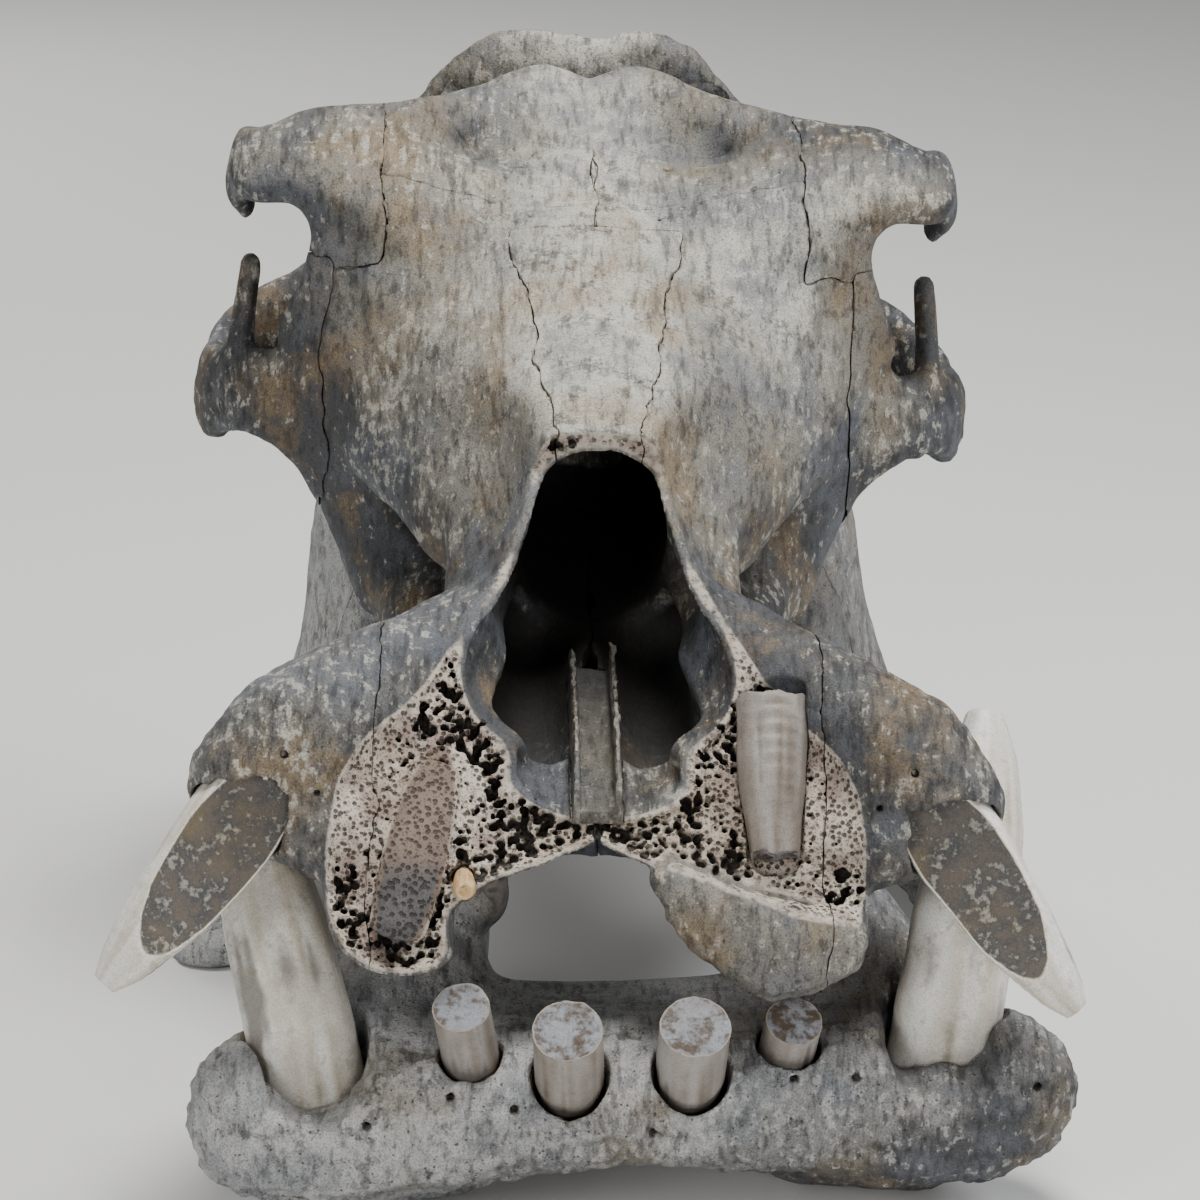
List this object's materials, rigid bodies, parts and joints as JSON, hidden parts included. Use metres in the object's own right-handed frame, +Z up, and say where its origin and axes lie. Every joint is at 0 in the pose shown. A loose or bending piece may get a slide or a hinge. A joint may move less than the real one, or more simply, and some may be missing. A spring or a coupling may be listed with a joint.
{
  "type": "hippopotamus skull",
  "caption": "Life-size fossil skull of a hippopotamus with its lower jaw in place, the tip of the snout broken open, canines and worn incisors standing in their sockets",
  "frame": {"origin": "centre of the skull's bounding box, on the surface it rests on", "axes": "+Z up; the snout points along -Y and the back of the head along +Y; the animal's left side is +X and its right side -X"},
  "size_m": [0.4836, 0.6712, 0.4785],
  "materials": {
    "cranium_bone": "dull mottled fossil bone, beige above and grey at the sides",
    "mandible_bone": "rough light grey fossil bone",
    "canine_ivory": "satin ivory with fine ridges and brown stains",
    "worn_tooth": "worn grey dentine with a cream rind"
  },
  "bodies": {
    "root": {"occiput": "cranium_bone", "zygomatic_right": "cranium_bone", "zygomatic_left": "cranium_bone", "orbit_right": "cranium_bone", "orbit_left": "cranium_bone", "canine_boss_right": "cranium_bone", "canine_boss_left": "cranium_bone", "premaxilla_right": "cranium_bone", "premaxilla_left": "cranium_bone", "nasal_bones": "cranium_bone", "maxilla_right": "cranium_bone", "maxilla_left": "cranium_bone", "frontal_right": "cranium_bone", "frontal_left": "cranium_bone", "braincase": "cranium_bone", "vomer": "cranium_bone", "mandible_symphysis": "mandible_bone", "mandible_angle_right": "mandible_bone", "mandible_angle_left": "mandible_bone", "mandible_ramus_right": "mandible_bone", "mandible_ramus_left": "mandible_bone", "mandible_body_right": "mandible_bone", "mandible_body_left": "mandible_bone", "upper_canine_right": "canine_ivory", "upper_canine_left": "canine_ivory", "lower_canine_right": "canine_ivory", "lower_canine_left": "canine_ivory", "upper_incisor_root_left": "worn_tooth", "upper_peg_tooth_right": "worn_tooth", "lower_incisor_1_right": "worn_tooth", "lower_incisor_1_left": "worn_tooth", "lower_incisor_2_right": "worn_tooth", "lower_incisor_2_left": "worn_tooth"}
  },
  "joints": []
}
